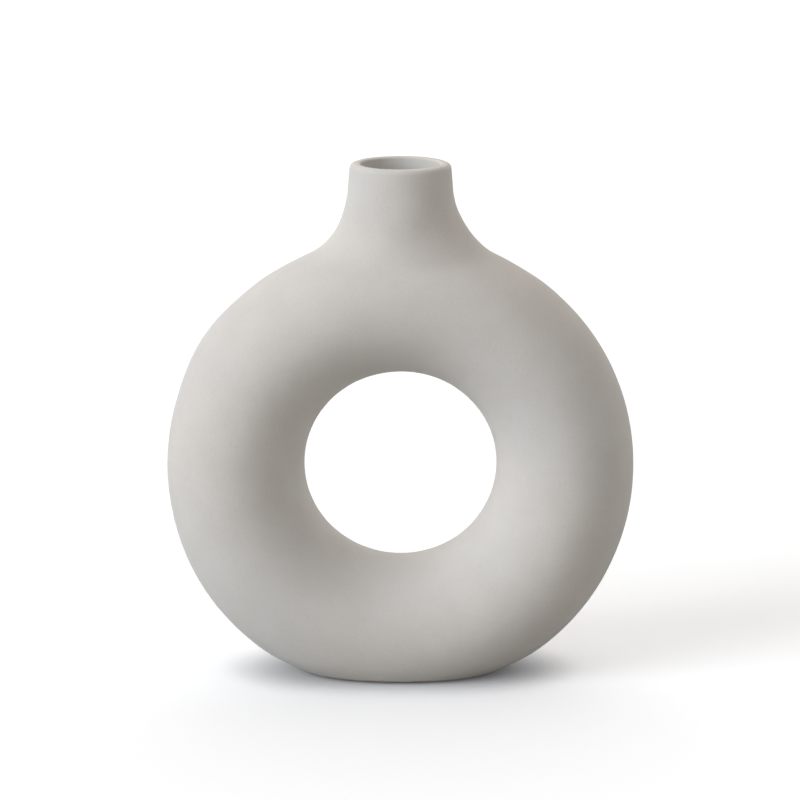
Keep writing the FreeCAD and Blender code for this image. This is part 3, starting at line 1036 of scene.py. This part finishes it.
def either(tree, kind, for_others, for_camera):
    """Ends a finish or the room with two shaders: one for the camera, one for all other light.

    The camera's holds too for what it sees in a reflection or through glass.
    """
    path = add(tree, "ShaderNodeLightPath").outputs
    seen = math_node(tree, "MAXIMUM", path["Is Camera Ray"], path["Is Glossy Ray"])
    seen = math_node(tree, "MAXIMUM", seen, path["Is Transmission Ray"])
    mixed = add(tree, "ShaderNodeMixShader", {
        0: seen, 1: for_others.outputs[0], 2: for_camera.outputs[0]})
    add(tree, kind, {"Surface": mixed.outputs[0]})


floor_finish = bpy.data.materials.new("pale_floor")
tree = empty_tree(floor_finish)
plain = add(tree, "ShaderNodeBsdfDiffuse", {"Color": (FLOOR_GREY, FLOOR_GREY, FLOOR_BLUE, 1)})
near_clay = add(
    tree, "ShaderNodeAmbientOcclusion", {"Distance": CONTACT_REACH}, samples=CONTACT_SAMPLES)
contact = between(tree, near_clay.outputs["AO"], 0, 1, 1 - CONTACT_DEPTH, 1)
shaded = add(tree, "ShaderNodeBsdfDiffuse", {"Color": blend(tree, 1, FLOOR_TINT, contact, "MULTIPLY")})
glow = add(tree, "ShaderNodeEmission", {
    "Color": GLOW_TINT, "Strength": math_node(tree, "MULTIPLY", contact, FLOOR_GLOW)})
white_floor = add(tree, "ShaderNodeAddShader", {0: shaded.outputs[0], 1: glow.outputs[0]})
either(tree, "ShaderNodeOutputMaterial", plain, white_floor)
put_on(floor_finish, floor)

# %% [markdown]
# The room's walls light the vase from all sides. They are warm, so the shaded side looks warm, and the
# one behind is bright: its light grows with the square of how far a direction points to the back. The
# camera sees plain white instead.

# %% Room
ROOM_LIGHT = 0.42
ROOM_TINT = (1.083, 1, 0.92, 1)
BACK_LIGHT = 1.6
WHITE = (1, 1, 1, 1)

room = bpy.data.worlds.new("studio")
tree = empty_tree(room)
way = add(tree, "ShaderNodeTexCoord").outputs["Generated"]
towards_back = add(tree, "ShaderNodeSeparateXYZ", {0: way}).outputs["Y"]
backward = math_node(tree, "MAXIMUM", towards_back, 0)
behind = math_node(tree, "MULTIPLY", math_node(tree, "MULTIPLY", backward, backward), BACK_LIGHT)
warm_walls = add(tree, "ShaderNodeBackground", {"Color": ROOM_TINT, "Strength": ROOM_LIGHT})
back_wall = add(tree, "ShaderNodeBackground", {"Color": WHITE, "Strength": behind})
walls = add(tree, "ShaderNodeAddShader", {0: warm_walls.outputs[0], 1: back_wall.outputs[0]})
white = add(tree, "ShaderNodeBackground", {"Color": WHITE, "Strength": 1})
either(tree, "ShaderNodeOutputWorld", walls, white)
bpy.context.scene.world = room
print(f"the walls shine at {ROOM_LIGHT}, and the one behind at {ROOM_LIGHT + BACK_LIGHT:.2f}")

# %% [markdown]
# A cool window stands low on the left and a little in front, and a very faint fill on the right. Both are
# far off and broad, so the edges of their shadows are soft.

# %% Window and fill
def soft_light(name, light, spread, turn, height, tint):
    """A distant soft light: turn is from the front to the left, height is above the horizon, in degrees.

    A light of 1 makes a white face that looks straight at it fully white.
    """
    turn, height = math.radians(turn), math.radians(height)
    away = Vector((
        -math.sin(turn) * math.cos(height), -math.cos(turn) * math.cos(height), math.sin(height)))
    lamp = bpy.data.lights.new(name, "SUN")
    lamp.energy = light * math.pi
    lamp.angle = math.radians(spread)
    lamp.color = tint
    place = bpy.data.objects.new(name, lamp)
    bpy.context.scene.collection.objects.link(place)
    place.rotation_euler = away.to_track_quat("Z", "Y").to_euler()
    print(f"{name}: light {light}, {spread} degrees wide")


soft_light("window", light=0.6, spread=40, turn=60, height=20, tint=(0.94, 0.997, 1.062))
soft_light("fill", light=0.04, spread=50, turn=-45, height=44, tint=(0.93, 0.975, 1.15))

# %% [markdown]
# The camera stands in front of the hole and looks down on the vase by about fourteen degrees, far enough
# off that the ring hardly narrows with distance. It aims a little above the ring's middle, so that the
# neck is in the picture too.

# %% Camera
CAMERA_AWAY = 1.466
LOOK_DOWN_ANGLE = math.radians(13.7)
AIM_ABOVE = 25.7 * MM
AIM_LEFT = 0.2 * MM
LENS = 162
SENSOR_WIDTH = 36
ring_middle = Vector((0, 0, RING_CENTRE))
towards = Vector((0, -math.cos(LOOK_DOWN_ANGLE), math.sin(LOOK_DOWN_ANGLE)))
camera_up = Vector((0, math.sin(LOOK_DOWN_ANGLE), math.cos(LOOK_DOWN_ANGLE)))
camera = bpy.data.objects.new("camera", bpy.data.cameras.new("camera"))
bpy.context.scene.collection.objects.link(camera)
camera.location = ring_middle + towards * CAMERA_AWAY
aim = ring_middle + camera_up * AIM_ABOVE - Vector((AIM_LEFT, 0, 0))
camera.rotation_euler = (aim - camera.location).to_track_quat("-Z", "Y").to_euler()
camera.data.lens = LENS
camera.data.sensor_width = SENSOR_WIDTH
bpy.context.scene.camera = camera
bpy.context.scene.view_settings.view_transform = "Standard"
print("camera at", [round(x, 4) for x in camera.location])
